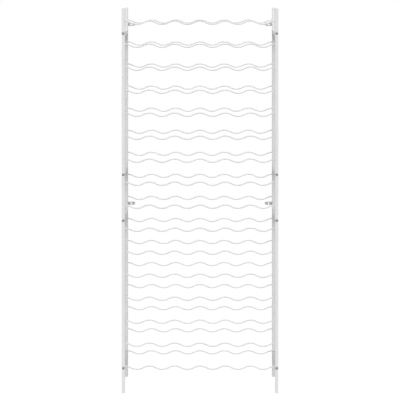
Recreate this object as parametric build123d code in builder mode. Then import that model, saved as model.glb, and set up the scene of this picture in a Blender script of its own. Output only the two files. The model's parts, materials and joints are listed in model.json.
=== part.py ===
from build123d import *
import math
import os

# Wall-mounted fold-down drying rack, in millimetres.
#
# Two upright grids stand one behind the other. Each is a pair of square tube posts with a
# ladder of wavy wires welded between them, and what is put on the rack lies in the troughs
# of a front wire and of its back wire. Eight arms join the grids, four on each side, and turn
# on a pivot at each end, so the front grid swings on a parallelogram, up and back until it
# hangs close to the wall, or down and forwards until the arms stop. Half of each arm end is
# square and butts on the post, which stops the arms when they slope a little down to the
# front, so the front grid hangs lower than the back one and wet things drain forwards.
#
# +X is to the right, +Y points into the wall and +Z is up. The origin is on the wall, in the
# middle of the four wall screw holes. The rack is drawn open, with its arms on their stops.

# ---------------------------------------------------------------- driving dimensions

# Posts, square steel tube with a plug in each end
rack_height = 1538.0
clear_width = 600.0  # from the left post to the right post
post_side = 12.7
post_wall = 1.2
post_corner = 1.5
wall_gap = 4.0  # from the wall to the back posts, room for the screw heads
cap_head = 1.5
cap_depth = 10.0
cap_wall = 1.5
cap_clearance = 0.1

# Wavy wires, round steel rod
wire_diameter = 5.0
wave_count = 6  # troughs in one wire
wave_height = 13.0  # crest to trough, along the wire's centre line
end_crest_inset = 3.0  # from a post's inner side to the crest that its end of the wave would reach
row_pitch = 92.0
top_margin = 50.0  # from the post tops down to the first row's crests
bottom_margin = 100.0  # at least this much post below the last row's crests

# Arms, rectangular steel tube
arm_length = 148.0  # pivot to pivot
open_slope = 14.0  # degrees that the arms fall towards the front when the rack is open
arm_height = 16.0
arm_wall = 1.5
arm_corner = 1.5
pivot_standoff = 11.0  # from a post's face to the pivot's axis
end_arm_inset = 101.0  # from the ends of the posts to the first and last arms
second_arm_drop = 665.0  # from the post tops
third_arm_drop = 848.0

# Lugs, pivot pins and the screws that hold the lugs to the posts
pin_diameter = 5.0
pin_chamfer = 0.4
pin_seat_clearance = 0.01  # radial, where the pin is fast in its lug
pin_running_clearance = 0.05  # radial, where the arm turns on the pin
turning_clearance = 0.3  # between an arm and what it turns past
lug_chamfer = 0.5
screw_diameter = 6.0
screw_head_inset = 0.7  # the head is this much smaller than the lug all round
screw_head_height = 3.3
screw_head_rim = 0.7
screw_engagement = 7.0  # thread inside the lug
screw_tip_room = 0.5
thread_clearance = 0.05
screw_hole_clearance = 0.2
socket_across_flats = 4.0
socket_depth = 2.0

# Wall tabs, bent steel strip riveted to the inner sides of the back posts
tab_thickness = 2.5
tab_height = 13.0
tab_reach = 29.0  # from the post's inner side to the tab's free end
tab_bend = 1.0  # inside radius
tab_end_radius = 5.0
tab_hole_diameter = 7.0
tab_hole_inset = 13.0  # from the post's inner side to the wall screw
top_tab_drop = 18.0  # below the crests of the first row
middle_tab_row = 8  # rows above the one that the middle tabs sit under
middle_tab_drop = 29.0  # below the crests of that row
rivet_diameter = 3.2
rivet_head_diameter = 6.5
rivet_head_height = 1.3
rivet_tail_diameter = 4.6
rivet_tail_length = 2.2
rivet_hole_clearance = 0.1

# ---------------------------------------------------------------- derived places

left = -1
right = 1
sides = {"left": left, "right": right}

slope = math.radians(open_slope)
arm_reach = arm_length * math.cos(slope)
front_drop = arm_length * math.sin(slope)
lowered = Location((0, 0, -front_drop))  # from the back grid's heights to the front grid's

post_x = clear_width / 2 + post_side / 2
back_post_y = -(wall_gap + post_side / 2)
back_pivot_y = back_post_y - post_side / 2 - pivot_standoff
front_pivot_y = back_pivot_y - arm_reach
front_post_y = front_pivot_y - pivot_standoff - post_side / 2

row_drops = []
while top_margin + len(row_drops) * row_pitch <= rack_height - bottom_margin:
    row_drops.append(top_margin + len(row_drops) * row_pitch)
tab_drops = [top_margin + top_tab_drop, top_margin + middle_tab_row * row_pitch + middle_tab_drop]

top_z = sum(tab_drops) / len(tab_drops)
bottom_z = top_z - rack_height
row_heights = [top_z - drop for drop in row_drops]
tab_heights = [top_z - drop for drop in tab_drops]
arm_drops = [end_arm_inset, second_arm_drop, third_arm_drop, rack_height - end_arm_inset]
arm_heights = [top_z - drop for drop in arm_drops]

arm_inner_width = post_side - 2 * arm_wall
arm_inner_height = arm_height - 2 * arm_wall
lug_thickness = arm_inner_width - 2 * turning_clearance
lug_radius = arm_inner_height / 2 - turning_clearance
screw_head_radius = lug_radius - screw_head_inset
screw_length = post_side + screw_engagement


def write(part, name):
    part.label = name
    export_step(part, f"parts/{name}.step")


# ---------------------------------------------------------------- grids


def make_post(x, y, rivet_side, rivet_heights):
    """One post: a tube drilled through for the lug screws and, on one side, for the rivets."""
    with BuildPart() as post:
        with BuildSketch(Plane.XY.offset(bottom_z + cap_head)):
            with Locations((x, y)):
                RectangleRounded(post_side, post_side, post_corner)
                Rectangle(post_side - 2 * post_wall, post_side - 2 * post_wall, mode=Mode.SUBTRACT)
        extrude(amount=rack_height - 2 * cap_head)
        with BuildSketch(Plane.XZ.offset(-y)):
            with Locations(*[(x, height) for height in arm_heights]):
                Circle(screw_diameter / 2 + screw_hole_clearance)
        extrude(amount=post_side, both=True, mode=Mode.SUBTRACT)
        if rivet_heights:
            with BuildSketch(Plane.YZ.offset(x)):
                with Locations(*[(y, height) for height in rivet_heights]):
                    Circle(rivet_diameter / 2 + rivet_hole_clearance)
            extrude(amount=-rivet_side * post_side, mode=Mode.SUBTRACT)
    return post.part


def make_caps(y):
    """The plugs in both ends of a grid's two posts."""
    plug_side = post_side - 2 * post_wall - 2 * cap_clearance
    with BuildPart() as cap:
        with BuildSketch():
            RectangleRounded(post_side, post_side, post_corner)
        extrude(amount=cap_head)
        fillet(cap.faces().sort_by(Axis.Z)[-1].edges(), radius=cap_head / 3)
        with BuildSketch():
            Rectangle(plug_side, plug_side)
            Rectangle(plug_side - 2 * cap_wall, plug_side - 2 * cap_wall, mode=Mode.SUBTRACT)
        extrude(amount=-cap_depth)
    with BuildPart() as caps:
        for x in (-post_x, post_x):
            add(cap.part.moved(Location((x, y, top_z - cap_head))))
            add(cap.part.moved(Location((x, y, bottom_z + cap_head), (180, 0, 0))))
    return caps.part


def make_wave_wire(y, crest_z):
    """One wire: round crests and troughs of one radius, cut off flat against both posts."""
    end_x = clear_width / 2 + end_crest_inset
    quarter = end_x / wave_count / 2
    radius = (quarter**2 + (wave_height / 2) ** 2) / wave_height
    turns = [-end_x + quarter * (2 * i + 1) for i in range(2 * wave_count)]
    points = [(-end_x, 0), *[(x, -wave_height / 2) for x in turns], (end_x, 0)]
    wire_plane = Plane(origin=(0, y, crest_z), x_dir=(1, 0, 0), z_dir=(0, -1, 0))
    with BuildPart() as wire:
        with BuildLine(wire_plane) as centre_line:
            for i, (start, end) in enumerate(zip(points, points[1:])):
                RadiusArc(start, end, radius if i % 2 == 0 else -radius)
        with BuildSketch(Plane(origin=(-end_x, y, crest_z), z_dir=(1, 0, 0))):
            Circle(wire_diameter / 2)
        sweep(path=centre_line.line)
        with Locations((0, y, crest_z)):
            Box(clear_width, 2 * wire_diameter, 2 * (wave_height + wire_diameter), mode=Mode.INTERSECT)
    return wire.part


# ---------------------------------------------------------------- pivots


def make_arm(x, height):
    """One arm: a tube with a fork at each end, half of it square, as a stop, and half round, to turn."""
    along = (0, math.cos(slope), math.sin(slope))
    middle = (x, (back_pivot_y + front_pivot_y) / 2, height - front_drop / 2)
    section_plane = Plane(origin=middle, x_dir=(1, 0, 0), z_dir=along)
    side_plane = Plane(origin=middle, x_dir=along, z_dir=(1, 0, 0))
    half_length = arm_length / 2
    half_height = arm_height / 2
    round_radius = pivot_standoff - turning_clearance
    round_reach = math.sqrt(round_radius**2 - half_height**2)
    stop_reach = (pivot_standoff - half_height * math.sin(slope)) / math.cos(slope)
    stop_top = (pivot_standoff * math.cos(slope), pivot_standoff * math.sin(slope))
    round_start = (round_radius * math.cos(slope), round_radius * math.sin(slope))
    fork_depth = lug_radius + 2 * turning_clearance
    with BuildPart() as arm:
        with BuildSketch(section_plane):
            RectangleRounded(post_side, arm_height, arm_corner)
            Rectangle(arm_inner_width, arm_inner_height, mode=Mode.SUBTRACT)
        extrude(amount=half_length + 2 * pivot_standoff, both=True)
        with BuildSketch(side_plane):
            with BuildLine():
                for end in (1, -1):
                    Polyline(
                        (-end * (half_length + round_reach), -end * half_height),
                        (end * (half_length + stop_reach), -end * half_height),
                        (end * (half_length + stop_top[0]), -end * stop_top[1]),
                        (end * (half_length + round_start[0]), -end * round_start[1]),
                    )
                    RadiusArc(
                        (end * (half_length + round_start[0]), -end * round_start[1]),
                        (end * (half_length + round_reach), end * half_height),
                        -round_radius,
                    )
            make_face()
        extrude(amount=post_side, both=True, mode=Mode.INTERSECT)
        for end in (1, -1):
            with BuildSketch(section_plane.offset(end * (half_length - fork_depth))):
                Rectangle(arm_inner_width, arm_height)
            extrude(amount=end * (fork_depth + 2 * pivot_standoff), mode=Mode.SUBTRACT)
        with BuildSketch(side_plane):
            with Locations((half_length, 0), (-half_length, 0)):
                Circle(pin_diameter / 2 + pin_running_clearance)
        extrude(amount=post_side, both=True, mode=Mode.SUBTRACT)
    return arm.part


def make_lug():
    """One lug, on the plane of the post's face, with its eye towards +Y."""
    with BuildPart() as lug:
        with BuildSketch(Plane.YZ):
            with Locations((pivot_standoff / 2, 0)):
                Rectangle(pivot_standoff, 2 * lug_radius)
            with Locations((pivot_standoff, 0)):
                Circle(lug_radius)
        extrude(amount=lug_thickness / 2, both=True)
        chamfer(lug.faces().sort_by(Axis.Y)[-1].edges().filter_by(GeomType.CIRCLE), lug_chamfer)
        with BuildSketch(Plane.YZ):
            with Locations((pivot_standoff, 0)):
                Circle(pin_diameter / 2 + pin_seat_clearance)
        extrude(amount=lug_thickness, both=True, mode=Mode.SUBTRACT)
        with BuildSketch(Plane.XZ):
            Circle(screw_diameter / 2 + thread_clearance)
        extrude(amount=-(screw_engagement + screw_tip_room), mode=Mode.SUBTRACT)
    return lug.part


def make_pin():
    """One pivot pin, along X, as long as an arm is wide."""
    with BuildPart() as pin:
        with BuildSketch(Plane.YZ):
            Circle(pin_diameter / 2)
        extrude(amount=post_side / 2, both=True)
        chamfer(pin.edges(), pin_chamfer)
    return pin.part


def make_lug_screw():
    """One button head screw along +Y, with the head's seat at y = 0."""
    with BuildPart() as screw:
        with BuildSketch(Plane.XY):
            with BuildLine():
                Polyline(
                    (0, -screw_head_height),
                    (0, screw_length),
                    (screw_diameter / 2, screw_length),
                    (screw_diameter / 2, 0),
                    (screw_head_radius, 0),
                    (screw_head_radius, -screw_head_rim),
                )
                dome = ((0, -screw_head_height), (screw_head_radius, -screw_head_rim))
                TangentArc(*dome, tangent=(1, 0))
            make_face()
        revolve(axis=Axis.Y)
        with BuildSketch(Plane.XZ.offset(screw_head_height)):
            RegularPolygon(socket_across_flats / 2, 6, major_radius=False)
        extrude(amount=-socket_depth, mode=Mode.SUBTRACT)
    return screw.part


# ---------------------------------------------------------------- wall tabs


def make_wall_tab(side, height):
    """One tab: a leg on the post's inner side and a leg flat on the wall, with the screw hole."""
    inner_x = side * clear_width / 2
    leg_end = back_post_y - post_side / 2
    with BuildPart() as tab:
        with BuildSketch(Plane.XY.offset(height - tab_height / 2)) as outline:
            with BuildLine():
                Polyline(
                    (inner_x - side * tab_reach, 0),
                    (inner_x, 0),
                    (inner_x, leg_end),
                    (inner_x - side * tab_thickness, leg_end),
                    (inner_x - side * tab_thickness, -tab_thickness),
                    (inner_x - side * tab_reach, -tab_thickness),
                    close=True,
                )
            make_face()
            fillet(outline.vertices().sort_by_distance((inner_x, 0, 0))[0], tab_bend + tab_thickness)
            inside = (inner_x - side * tab_thickness, -tab_thickness, 0)
            fillet(outline.vertices().sort_by_distance(inside)[0], tab_bend)
        extrude(amount=tab_height)
        free_end = tab.faces().filter_by(Axis.X).sort_by(Axis.X)[0 if side == right else -1]
        fillet(free_end.edges().filter_by(Axis.Y), tab_end_radius)
        with BuildSketch(Plane.XZ):
            with Locations((inner_x - side * tab_hole_inset, height)):
                Circle(tab_hole_diameter / 2)
        extrude(amount=tab_thickness, both=True, mode=Mode.SUBTRACT)
        with BuildSketch(Plane.YZ.offset(inner_x)):
            with Locations((back_post_y, height)):
                Circle(rivet_diameter / 2 + rivet_hole_clearance)
        extrude(amount=2 * tab_thickness, both=True, mode=Mode.SUBTRACT)
    return tab.part


def make_rivet():
    """One blind rivet along +X, with the head's seat at x = 0."""
    grip = tab_thickness + post_wall
    with BuildPart() as rivet:
        with BuildSketch(Plane.XY):
            with BuildLine():
                Polyline(
                    (-rivet_head_height, 0),
                    (grip + rivet_tail_length, 0),
                    (grip + rivet_tail_length, rivet_diameter / 2),
                    (grip, rivet_tail_diameter / 2),
                    (grip, rivet_diameter / 2),
                    (0, rivet_diameter / 2),
                    (0, rivet_head_diameter / 2),
                )
                TangentArc((-rivet_head_height, 0), (0, rivet_head_diameter / 2), tangent=(0, 1))
            make_face()
        revolve(axis=Axis.X)
    return rivet.part


# ---------------------------------------------------------------- writing the parts

os.makedirs("parts", exist_ok=True)

for side_name, side in sides.items():
    write(make_post(side * post_x, back_post_y, side, tab_heights), f"back_post_{side_name}")
    front_post = make_post(side * post_x, front_post_y, side, [])
    write(front_post.moved(lowered), f"front_post_{side_name}")
write(make_caps(back_post_y), "back_post_caps")
write(make_caps(front_post_y).moved(lowered), "front_post_caps")

for row, height in enumerate(row_heights, start=1):
    write(make_wave_wire(back_post_y, height), f"back_wire_{row:02d}")
    write(make_wave_wire(front_post_y, height).moved(lowered), f"front_wire_{row:02d}")

for side_name, side in sides.items():
    for number, height in enumerate(arm_heights, start=1):
        write(make_arm(side * post_x, height), f"arm_{number}_{side_name}")

lug = make_lug()
pin = make_pin()
lug_screw = make_lug_screw()
grids = {
    "back": (back_post_y, back_pivot_y, 0, 180),
    "front": (front_post_y, front_pivot_y, front_drop, 0),
}
for grid_name, (post_y, pivot_y, drop, turn) in grids.items():
    towards_arm = 1 if turn == 0 else -1
    lug_seat_y = post_y + towards_arm * post_side / 2
    screw_seat_y = post_y - towards_arm * post_side / 2
    pivot_heights = [height - drop for height in arm_heights]
    for side_name, side in sides.items():
        with BuildPart() as lugs:
            for z in pivot_heights:
                add(lug.moved(Location((side * post_x, lug_seat_y, z), (0, 0, turn))))
        write(lugs.part, f"{grid_name}_lugs_{side_name}")
    with BuildPart() as pins:
        for z in pivot_heights:
            for x in (-post_x, post_x):
                add(pin.moved(Location((x, pivot_y, z))))
    write(pins.part, f"{grid_name}_pivot_pins")
    with BuildPart() as screws:
        for z in pivot_heights:
            for x in (-post_x, post_x):
                add(lug_screw.moved(Location((x, screw_seat_y, z), (0, 0, turn))))
    write(screws.part, f"{grid_name}_lug_screws")

tab_names = ("top", "middle")
for tab_name, height in zip(tab_names, tab_heights):
    for side_name, side in sides.items():
        write(make_wall_tab(side, height), f"wall_tab_{tab_name}_{side_name}")
rivet = make_rivet()
with BuildPart() as rivets:
    for height in tab_heights:
        for side in sides.values():
            seat_x = side * (clear_width / 2 - tab_thickness)
            turn = 0 if side == right else 180
            add(rivet.moved(Location((seat_x, back_post_y, height), (0, 0, turn))))
write(rivets.part, "tab_rivets")
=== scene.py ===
import json
import math
import random

import bpy
from mathutils import Matrix, Vector


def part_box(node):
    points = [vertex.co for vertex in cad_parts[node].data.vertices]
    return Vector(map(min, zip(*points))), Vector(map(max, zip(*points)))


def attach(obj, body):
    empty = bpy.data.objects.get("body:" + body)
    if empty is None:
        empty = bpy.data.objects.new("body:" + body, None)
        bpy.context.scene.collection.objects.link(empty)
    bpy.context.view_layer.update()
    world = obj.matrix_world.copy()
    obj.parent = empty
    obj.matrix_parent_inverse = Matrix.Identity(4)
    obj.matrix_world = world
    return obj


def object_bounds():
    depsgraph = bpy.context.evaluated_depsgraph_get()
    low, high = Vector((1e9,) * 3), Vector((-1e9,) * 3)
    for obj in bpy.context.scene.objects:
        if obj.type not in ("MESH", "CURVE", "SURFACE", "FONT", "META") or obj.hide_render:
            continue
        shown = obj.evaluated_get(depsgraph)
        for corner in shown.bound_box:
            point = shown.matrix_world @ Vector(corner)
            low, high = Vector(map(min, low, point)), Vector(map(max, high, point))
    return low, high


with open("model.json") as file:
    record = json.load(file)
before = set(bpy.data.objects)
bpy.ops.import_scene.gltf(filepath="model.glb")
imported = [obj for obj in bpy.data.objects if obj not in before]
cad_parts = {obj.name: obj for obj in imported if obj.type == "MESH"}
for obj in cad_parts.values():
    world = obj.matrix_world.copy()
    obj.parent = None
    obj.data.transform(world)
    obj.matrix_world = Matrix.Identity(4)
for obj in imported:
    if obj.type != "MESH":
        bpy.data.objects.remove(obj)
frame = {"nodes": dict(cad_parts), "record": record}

cad_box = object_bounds()
mm = 0.001

# ------------------------------------------------------------------ camera

view_distance = 4.17  # from the front posts' faces
view_width = 1.597  # what the picture is wide, at the front posts' faces
view_rise = 3.2 * mm  # of the camera above the middle of the front grid
sensor_width = 36.0  # in millimetres, as the lens

front_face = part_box("front_post_left")[0].y
grid_lo, grid_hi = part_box("front_post_caps")
camera_data = bpy.data.cameras.new("camera")
camera_data.sensor_width = sensor_width
camera_data.lens = sensor_width * view_distance / view_width
camera = bpy.data.objects.new("camera", camera_data)
camera.location = (0, front_face - view_distance, (grid_lo.z + grid_hi.z) / 2 + view_rise)
camera.rotation_euler = (math.radians(90), 0, 0)
bpy.context.scene.collection.objects.link(camera)
bpy.context.scene.camera = camera
bpy.context.scene.view_settings.view_transform = "Standard"

# ------------------------------------------------------------------ shared node helpers


def nodes_of(owner):
    """A material's or world's node tree, emptied."""
    owner.use_nodes = True
    owner.node_tree.nodes.clear()
    return owner.node_tree


def add_node(tree, kind, **settings):
    """A node with its properties and, by socket name, its input values."""
    node = tree.nodes.new(kind)
    for name, value in settings.pop("values", {}).items():
        node.inputs[name].default_value = value
    for name, value in settings.items():
        setattr(node, name, value)
    return node


def new_group(name, inputs, outputs):
    """A shader group with number inputs and number outputs, and its two end nodes."""
    tree = bpy.data.node_groups.new(name, "ShaderNodeTree")
    for socket, value in inputs.items():
        made = tree.interface.new_socket(socket, in_out="INPUT", socket_type="NodeSocketFloat")
        made.default_value = value
    for socket in outputs:
        tree.interface.new_socket(socket, in_out="OUTPUT", socket_type="NodeSocketFloat")
    return tree, tree.nodes.new("NodeGroupInput"), tree.nodes.new("NodeGroupOutput")


def place_group(tree, group, **values):
    """A group's node in a material, with its own values."""
    node = tree.nodes.new("ShaderNodeGroup")
    node.node_tree = group
    for name, value in values.items():
        node.inputs[name.replace("_", " ")].default_value = value
    return node


def mix_colours(tree, mask, first, second):
    """The colour that goes from first to second as the mask goes from 0 to 1."""
    mix = add_node(tree, "ShaderNodeMix", data_type="RGBA")
    tree.links.new(mask, mix.inputs[0])
    for socket, colour in ((mix.inputs[6], first), (mix.inputs[7], second)):
        if isinstance(colour, bpy.types.NodeSocket):
            tree.links.new(colour, socket)
        else:
            socket.default_value = (*colour, 1)
    return mix.outputs[2]


def between(tree, mask, low, high):
    """The number that goes from low to high as the mask goes from 0 to 1."""
    spread = add_node(tree, "ShaderNodeMapRange", values={"To Min": low, "To Max": high})
    tree.links.new(mask, spread.inputs["Value"])
    return spread.outputs["Result"]


# ------------------------------------------------------------------ shared effects


def make_orange_peel():
    """The dimpled skin of baked powder: small soft dimples on longer, lower waves."""
    waves_per_dimple = 0.22
    tree, start, end = new_group("orange_peel", {"Dimple Size": 1.6 * mm, "Wave Share": 0.4}, ["Height"])
    place = add_node(tree, "ShaderNodeTexCoord")
    scale = add_node(tree, "ShaderNodeMath", operation="DIVIDE")
    scale.inputs[0].default_value = 1.0
    dimples = add_node(tree, "ShaderNodeTexNoise", values={"Detail": 1.0, "Roughness": 0.4})
    wave_scale = add_node(tree, "ShaderNodeMath", operation="MULTIPLY")
    wave_scale.inputs[1].default_value = waves_per_dimple
    waves = add_node(tree, "ShaderNodeTexNoise", values={"Detail": 0.0})
    blend = add_node(tree, "ShaderNodeMix")
    link = tree.links.new
    link(start.outputs["Dimple Size"], scale.inputs[1])
    link(scale.outputs[0], dimples.inputs["Scale"])
    link(scale.outputs[0], wave_scale.inputs[0])
    link(wave_scale.outputs[0], waves.inputs["Scale"])
    for noise in (dimples, waves):
        link(place.outputs["Object"], noise.inputs["Vector"])
    link(start.outputs["Wave Share"], blend.inputs["Factor"])
    link(dimples.outputs["Fac"], blend.inputs["A"])
    link(waves.outputs["Fac"], blend.inputs["B"])
    link(blend.outputs["Result"], end.inputs["Height"])
    return tree


def make_cloudiness():
    """Slow, cloudy change over a surface, as a mask whose contrast spreads from its middle."""
    middle = 0.5
    tree, start, end = new_group("cloudiness", {"Patch Size": 120 * mm, "Contrast": 1.0}, ["Mask"])
    place = add_node(tree, "ShaderNodeTexCoord")
    scale = add_node(tree, "ShaderNodeMath", operation="DIVIDE")
    scale.inputs[0].default_value = 1.0
    noise = add_node(tree, "ShaderNodeTexNoise", values={"Detail": 3.0, "Roughness": 0.55})
    centred = add_node(tree, "ShaderNodeMath", operation="SUBTRACT")
    centred.inputs[1].default_value = middle
    stronger = add_node(tree, "ShaderNodeMath", operation="MULTIPLY")
    mask = add_node(tree, "ShaderNodeMath", operation="ADD", use_clamp=True)
    mask.inputs[1].default_value = middle
    link = tree.links.new
    link(start.outputs["Patch Size"], scale.inputs[1])
    link(scale.outputs[0], noise.inputs["Scale"])
    link(place.outputs["Object"], noise.inputs["Vector"])
    link(noise.outputs["Fac"], centred.inputs[0])
    link(centred.outputs[0], stronger.inputs[0])
    link(start.outputs["Contrast"], stronger.inputs[1])
    link(stronger.outputs[0], mask.inputs[0])
    link(mask.outputs[0], end.inputs["Mask"])
    return tree


def make_edge_rub():
    """A broken mask along edges, where a finish is rubbed."""
    flat_alike, worn_alike = 0.995, 0.80  # the true and the rounded normal's product off and on an edge
    grain_low, grain_high = 0.38, 0.62
    tree, start, end = new_group("edge_rub", {"Reach": 0.6 * mm, "Grain Size": 2 * mm}, ["Mask"])
    place = add_node(tree, "ShaderNodeTexCoord")
    flat = add_node(tree, "ShaderNodeNewGeometry")
    rounded = add_node(tree, "ShaderNodeBevel", samples=4)
    alike = add_node(tree, "ShaderNodeVectorMath", operation="DOT_PRODUCT")
    edge = add_node(tree, "ShaderNodeMapRange", values={"From Min": flat_alike, "From Max": worn_alike})
    scale = add_node(tree, "ShaderNodeMath", operation="DIVIDE")
    scale.inputs[0].default_value = 1.0
    noise = add_node(tree, "ShaderNodeTexNoise", values={"Detail": 3.0, "Roughness": 0.6})
    broken = add_node(tree, "ShaderNodeMapRange", values={"From Min": grain_low, "From Max": grain_high})
    mask = add_node(tree, "ShaderNodeMath", operation="MULTIPLY", use_clamp=True)
    link = tree.links.new
    link(start.outputs["Reach"], rounded.inputs["Radius"])
    link(flat.outputs["True Normal"], alike.inputs[0])
    link(rounded.outputs["Normal"], alike.inputs[1])
    link(alike.outputs["Value"], edge.inputs["Value"])
    link(start.outputs["Grain Size"], scale.inputs[1])
    link(scale.outputs[0], noise.inputs["Scale"])
    link(place.outputs["Object"], noise.inputs["Vector"])
    link(noise.outputs["Fac"], broken.inputs["Value"])
    link(edge.outputs["Result"], mask.inputs[0])
    link(broken.outputs["Result"], mask.inputs[1])
    link(mask.outputs[0], end.inputs["Mask"])
    return tree


def make_drawn_lines():
    """Fine lines along X, left by rolling or grinding, as a mask. Its numbers are lines to the metre."""
    tree, start, end = new_group("drawn_lines", {"Across": 2500.0, "Along": 60.0}, ["Mask"])
    place = add_node(tree, "ShaderNodeTexCoord")
    stretch = add_node(tree, "ShaderNodeCombineXYZ")
    stretched = add_node(tree, "ShaderNodeVectorMath", operation="MULTIPLY")
    noise = add_node(tree, "ShaderNodeTexNoise", values={"Scale": 1.0, "Detail": 2.0})
    link = tree.links.new
    link(start.outputs["Along"], stretch.inputs["X"])
    link(start.outputs["Across"], stretch.inputs["Y"])
    link(start.outputs["Across"], stretch.inputs["Z"])
    link(place.outputs["Object"], stretched.inputs[0])
    link(stretch.outputs["Vector"], stretched.inputs[1])
    link(stretched.outputs["Vector"], noise.inputs["Vector"])
    link(noise.outputs["Fac"], end.inputs["Mask"])
    return tree


orange_peel = make_orange_peel()
cloudiness = make_cloudiness()
edge_rub = make_edge_rub()
drawn_lines = make_drawn_lines()

# ------------------------------------------------------------------ materials


def start_material(name):
    """A material with its Principled shader joined to its output."""
    material = bpy.data.materials.new(name)
    tree = nodes_of(material)
    shader = add_node(tree, "ShaderNodeBsdfPrincipled")
    output = add_node(tree, "ShaderNodeOutputMaterial")
    tree.links.new(shader.outputs["BSDF"], output.inputs["Surface"])
    return material, tree, shader


def add_bump(tree, shader, height, depth, strength):
    """Relief of that depth on a material's surface."""
    bump = add_node(tree, "ShaderNodeBump", values={"Strength": strength, "Distance": depth})
    tree.links.new(height, bump.inputs["Height"])
    tree.links.new(bump.outputs["Normal"], shader.inputs["Normal"])


def make_powder_coat():
    """Matt white baked powder: cloudy tone, thin at the edges, with a fine orange peel."""
    material, tree, shader = start_material("white_powder_coat")
    thick_coat, thin_coat, edge_coat = (0.80, 0.80, 0.80), (0.765, 0.766, 0.768), (0.70, 0.70, 0.705)
    clouds = place_group(tree, cloudiness, Patch_Size=90 * mm, Contrast=2.0)
    rub = place_group(tree, edge_rub, Reach=0.9 * mm, Grain_Size=6 * mm)
    peel = place_group(tree, orange_peel, Dimple_Size=1.6 * mm, Wave_Share=0.4)
    tone = mix_colours(tree, clouds.outputs["Mask"], thick_coat, thin_coat)
    tone = mix_colours(tree, rub.outputs["Mask"], tone, edge_coat)
    roughness = between(tree, clouds.outputs["Mask"], low=0.50, high=0.62)
    tree.links.new(tone, shader.inputs["Base Color"])
    tree.links.new(roughness, shader.inputs["Roughness"])
    add_bump(tree, shader, peel.outputs["Height"], depth=0.12 * mm, strength=0.7)
    return material


def make_zinc_plate():
    """Matt grey zinc plating on rolled steel: faint rolling lines, cloudy dulling, bright edges."""
    material, tree, shader = start_material("zinc_plate")
    clear_zinc, dull_zinc, bright_edge = (0.42, 0.425, 0.43), (0.335, 0.338, 0.34), (0.62, 0.62, 0.62)
    clouds = place_group(tree, cloudiness, Patch_Size=8 * mm, Contrast=2.2)
    lines = place_group(tree, drawn_lines, Across=1800.0, Along=90.0)
    rub = place_group(tree, edge_rub, Reach=0.7 * mm, Grain_Size=2 * mm)
    tone = mix_colours(tree, clouds.outputs["Mask"], clear_zinc, dull_zinc)
    tone = mix_colours(tree, rub.outputs["Mask"], tone, bright_edge)
    roughness = between(tree, clouds.outputs["Mask"], low=0.52, high=0.68)
    tree.links.new(tone, shader.inputs["Base Color"])
    shader.inputs["Metallic"].default_value = 0.85
    tree.links.new(roughness, shader.inputs["Roughness"])
    add_bump(tree, shader, lines.outputs["Mask"], depth=0.03 * mm, strength=0.5)
    return material


def make_zinc_screw():
    """Dull, darker zinc on screws and rivets: blotchy, with handled, brighter rims."""
    material, tree, shader = start_material("zinc_screw")
    light_blotch, dark_blotch, rim = (0.325, 0.325, 0.33), (0.25, 0.25, 0.255), (0.42, 0.42, 0.42)
    clouds = place_group(tree, cloudiness, Patch_Size=3 * mm, Contrast=2.0)
    skin = place_group(tree, orange_peel, Dimple_Size=0.5 * mm, Wave_Share=0.3)
    rub = place_group(tree, edge_rub, Reach=0.4 * mm, Grain_Size=1 * mm)
    tone = mix_colours(tree, clouds.outputs["Mask"], light_blotch, dark_blotch)
    tone = mix_colours(tree, rub.outputs["Mask"], tone, rim)
    roughness = between(tree, clouds.outputs["Mask"], low=0.45, high=0.6)
    tree.links.new(tone, shader.inputs["Base Color"])
    shader.inputs["Metallic"].default_value = 0.85
    tree.links.new(roughness, shader.inputs["Roughness"])
    add_bump(tree, shader, skin.outputs["Height"], depth=0.02 * mm, strength=0.5)
    return material


def make_zinc_casting():
    """Die-cast zinc: grainy, dull, with rubbed corners."""
    material, tree, shader = start_material("zinc_casting")
    light_grain, dull_grain, rubbed_corner = (0.56, 0.56, 0.565), (0.47, 0.47, 0.475), (0.68, 0.68, 0.68)
    clouds = place_group(tree, cloudiness, Patch_Size=5 * mm, Contrast=1.8)
    skin = place_group(tree, orange_peel, Dimple_Size=0.7 * mm, Wave_Share=0.3)
    rub = place_group(tree, edge_rub, Reach=0.6 * mm, Grain_Size=1.5 * mm)
    tone = mix_colours(tree, clouds.outputs["Mask"], light_grain, dull_grain)
    tone = mix_colours(tree, rub.outputs["Mask"], tone, rubbed_corner)
    roughness = between(tree, clouds.outputs["Mask"], low=0.5, high=0.66)
    tree.links.new(tone, shader.inputs["Base Color"])
    shader.inputs["Metallic"].default_value = 0.8
    tree.links.new(roughness, shader.inputs["Roughness"])
    add_bump(tree, shader, skin.outputs["Height"], depth=0.05 * mm, strength=0.6)
    return material


def make_bright_steel():
    """Ground steel pin ends: a fine grain and a low sheen."""
    material, tree, shader = start_material("bright_steel")
    light_steel, dark_steel = (0.58, 0.58, 0.585), (0.50, 0.50, 0.505)
    clouds = place_group(tree, cloudiness, Patch_Size=3 * mm, Contrast=1.5)
    grain = place_group(tree, drawn_lines, Across=4000.0, Along=4000.0)
    tone = mix_colours(tree, clouds.outputs["Mask"], light_steel, dark_steel)
    roughness = between(tree, grain.outputs["Mask"], low=0.24, high=0.36)
    tree.links.new(tone, shader.inputs["Base Color"])
    shader.inputs["Metallic"].default_value = 1.0
    tree.links.new(roughness, shader.inputs["Roughness"])
    add_bump(tree, shader, grain.outputs["Mask"], depth=0.01 * mm, strength=0.4)
    return material


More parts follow.
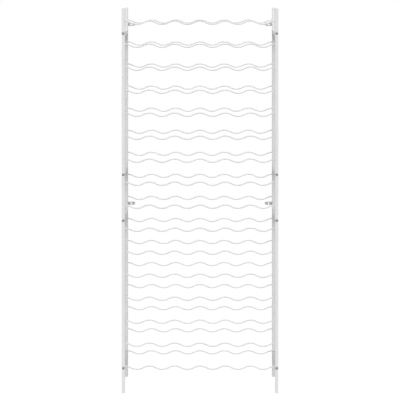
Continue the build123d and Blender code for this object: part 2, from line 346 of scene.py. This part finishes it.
def make_white_plastic():
    """Moulded plastic of the post plugs: a finely sparked skin, cloudy in tone and sheen."""
    material, tree, shader = start_material("white_plastic")
    clean_white, warm_white = (0.79, 0.79, 0.785), (0.765, 0.765, 0.755)
    clouds = place_group(tree, cloudiness, Patch_Size=10 * mm, Contrast=1.2)
    skin = place_group(tree, orange_peel, Dimple_Size=0.4 * mm, Wave_Share=0.15)
    tone = mix_colours(tree, clouds.outputs["Mask"], clean_white, warm_white)
    roughness = between(tree, clouds.outputs["Mask"], low=0.42, high=0.55)
    tree.links.new(tone, shader.inputs["Base Color"])
    tree.links.new(roughness, shader.inputs["Roughness"])
    add_bump(tree, shader, skin.outputs["Height"], depth=0.02 * mm, strength=0.5)
    return material


finishes = {
    "white_powder_coat": make_powder_coat(),
    "zinc_plate": make_zinc_plate(),
    "zinc_screw": make_zinc_screw(),
    "zinc_casting": make_zinc_casting(),
    "bright_steel": make_bright_steel(),
    "white_plastic": make_white_plastic(),
}

for subpart in frame["record"]["subparts"]:
    mesh = frame["nodes"][subpart["node"]].data
    mesh.materials.clear()
    mesh.materials.append(finishes[subpart["material_slot"]])

# ------------------------------------------------------------------ weld beads at the wire ends

wire_radius = 2.5 * mm
bead_foot_radius = 4.2 * mm
bead_tip_radius = 2.42 * mm  # a little inside the wire, so that the bead runs out on it
bead_length = 2.6 * mm
bead_sides = 24
bead_rings = 4  # between its foot and its tip
bead_hollow = 0.16  # share of its radius that the bead is drawn in half way along
bead_unevenness = 0.5 * mm  # at the foot, and none at the tip
bead_smooth_angle = 50.0
lump_counts = (3, 4, 5)  # round one bead
wave_turn_radius = 52.3 * mm  # of the wires' crests and troughs
end_crest_inset = 3.0 * mm  # from a post's side back to the crest that its end of the wave would reach


def only(obj):
    """obj alone is selected and active."""
    bpy.ops.object.select_all(action="DESELECT")
    obj.select_set(True)
    bpy.context.view_layer.objects.active = obj


def share_along(point):
    """How far along its bead a point lies, from 0 at the foot to 1 at the tip."""
    return min(max(point.x / bead_length, 0), 1)


def make_bead():
    """One even weld bead round a wire along +X, with its foot at x = 0: a flared, hollowed collar."""
    bpy.ops.object.select_all(action="DESELECT")
    bpy.ops.mesh.primitive_cone_add(
        vertices=bead_sides,
        radius1=bead_foot_radius,
        radius2=bead_tip_radius,
        depth=bead_length,
        location=(bead_length / 2, 0, 0),
        rotation=(0, math.radians(90), 0),
    )
    bead = bpy.context.object
    bpy.ops.object.transform_apply(location=True, rotation=True, scale=True)
    bpy.ops.object.mode_set(mode="EDIT")
    bpy.ops.mesh.select_mode(type="EDGE")
    bpy.ops.mesh.select_all(action="DESELECT")
    bpy.ops.object.mode_set(mode="OBJECT")
    for edge in bead.data.edges:
        ends = [bead.data.vertices[v].co.x for v in edge.vertices]
        edge.select = abs(ends[0] - ends[1]) > bead_length / 2
    bpy.ops.object.mode_set(mode="EDIT")
    bpy.ops.mesh.subdivide(number_cuts=bead_rings)
    bpy.ops.object.mode_set(mode="OBJECT")
    for vertex in bead.data.vertices:
        hollow = 1 - bead_hollow * math.sin(math.pi * share_along(vertex.co))
        vertex.co.y *= hollow
        vertex.co.z *= hollow
    return bead


def lump_and_curve(bead, lumps, phase):
    """The bead swollen in lumps round its foot, from the torch, and bent down as the wire starts to dip."""
    for vertex in bead.data.vertices:
        angle = math.atan2(vertex.co.z, vertex.co.y)
        lump = bead_unevenness * math.sin(lumps * angle + phase) / bead_foot_radius
        swell = 1 + lump * (1 - share_along(vertex.co))
        vertex.co.y *= swell
        vertex.co.z *= swell
        vertex.co.z -= (end_crest_inset + vertex.co.x) ** 2 / (2 * wave_turn_radius)


def place_beads(name, body, wires):
    """Copies of the bead at both ends of each wire, each turned and lumped its own way, as one piece."""
    bead = make_bead()
    copies = []
    for wire in wires:
        lo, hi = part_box(wire)
        for side in (-1, 1):
            copy = bead.copy()
            copy.data = bead.data.copy()
            bpy.context.scene.collection.objects.link(copy)
            phase, lumps = random.uniform(0, 2 * math.pi), random.choice(lump_counts)
            lump_and_curve(copy, lumps, phase)
            foot = Vector((side * (hi.x - lo.x) / 2, (lo.y + hi.y) / 2, hi.z - wire_radius))
            turn = Matrix.Rotation(math.radians(180 if side > 0 else 0), 4, "Z")
            copy.data.transform(Matrix.Translation(foot) @ turn)
            copies.append(copy)
    bpy.data.objects.remove(bead)
    only(copies[0])
    for copy in copies:
        copy.select_set(True)
    bpy.ops.object.join()
    beads = bpy.context.object
    beads.name = name
    beads.data.name = name
    beads.data.materials.append(finishes["white_powder_coat"])
    only(beads)
    bpy.ops.object.shade_smooth_by_angle(angle=math.radians(bead_smooth_angle))
    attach(beads, body)


random.seed(7)
for grid in ("back", "front"):
    wires = sorted(node for node in frame["nodes"] if node.startswith(f"{grid}_wire_"))
    place_beads(f"{grid}_wire_welds", f"{grid}_frame", wires)

# ------------------------------------------------------------------ floor, light and background

floor_gap = 0.3  # from the rack down to the floor
floor_size = 40.0
floor_tone = 0.8
floor_glow = 0.10  # light that the floor gives off by itself
floor_lift = 0.45  # more of it where the floor is seen, which makes it just white
sky_tone = 0.31
background_white = 1.0
key_strength = 1.75
key_angle = 22.0  # degrees that the light is wide
key_elevation = 30.0  # degrees above level
top_light_power = 7.8
top_light_size = (0.9, 0.6)
top_light_height = 1.1  # above the rack
top_light_depth = 0.05  # behind the wall's face


def seen_directly(tree):
    """1 for what the camera sees, straight or by reflection or through glass."""
    path = add_node(tree, "ShaderNodeLightPath")
    direct_or_glossy = add_node(tree, "ShaderNodeMath", operation="MAXIMUM")
    any_of_three = add_node(tree, "ShaderNodeMath", operation="MAXIMUM")
    tree.links.new(path.outputs["Is Camera Ray"], direct_or_glossy.inputs[0])
    tree.links.new(path.outputs["Is Glossy Ray"], direct_or_glossy.inputs[1])
    tree.links.new(direct_or_glossy.outputs[0], any_of_three.inputs[0])
    tree.links.new(path.outputs["Is Transmission Ray"], any_of_three.inputs[1])
    return any_of_three.outputs[0]


def make_floor():
    """A plain pale floor that looks white where nothing shades it."""
    bpy.ops.object.select_all(action="DESELECT")
    bpy.ops.mesh.primitive_plane_add(size=floor_size, location=(0, 0, cad_box[0].z - floor_gap))
    floor = bpy.context.object
    floor.name = "studio_floor"
    material = bpy.data.materials.new("studio_floor")
    tree = nodes_of(material)
    matt = add_node(tree, "ShaderNodeBsdfDiffuse", values={"Color": (floor_tone,) * 3 + (1,)})
    lift = add_node(tree, "ShaderNodeEmission")
    strength = add_node(tree, "ShaderNodeMath", operation="MULTIPLY_ADD")
    strength.inputs[1].default_value = floor_lift
    strength.inputs[2].default_value = floor_glow
    both = add_node(tree, "ShaderNodeAddShader")
    output = add_node(tree, "ShaderNodeOutputMaterial")
    tree.links.new(seen_directly(tree), strength.inputs[0])
    tree.links.new(strength.outputs[0], lift.inputs["Strength"])
    tree.links.new(matt.outputs[0], both.inputs[0])
    tree.links.new(lift.outputs[0], both.inputs[1])
    tree.links.new(both.outputs[0], output.inputs["Surface"])
    floor.data.materials.append(material)


def make_background():
    """Soft grey light all round, and white where it is seen."""
    world = bpy.data.worlds.new("studio")
    bpy.context.scene.world = world
    tree = nodes_of(world)
    tone = mix_colours(tree, seen_directly(tree), (sky_tone,) * 3, (background_white,) * 3)
    background = add_node(tree, "ShaderNodeBackground")
    output = add_node(tree, "ShaderNodeOutputWorld")
    tree.links.new(tone, background.inputs["Color"])
    tree.links.new(background.outputs[0], output.inputs["Surface"])


def make_key_light():
    """One soft light from the front and above."""
    light = bpy.data.lights.new("key_light", "SUN")
    light.energy = key_strength
    light.angle = math.radians(key_angle)
    lamp = bpy.data.objects.new("key_light", light)
    lamp.rotation_euler = (math.radians(90 - key_elevation), 0, 0)
    bpy.context.scene.collection.objects.link(lamp)


def make_top_light():
    """A soft box over the rack, which lights the upper rows more than the lower ones."""
    light = bpy.data.lights.new("top_light", "AREA")
    light.energy = top_light_power
    light.shape = "RECTANGLE"
    light.size, light.size_y = top_light_size
    lamp = bpy.data.objects.new("top_light", light)
    lamp.location = (0, top_light_depth, cad_box[1].z + top_light_height)
    lamp.visible_camera = False
    bpy.context.scene.collection.objects.link(lamp)


make_floor()
make_background()
make_key_light()
make_top_light()
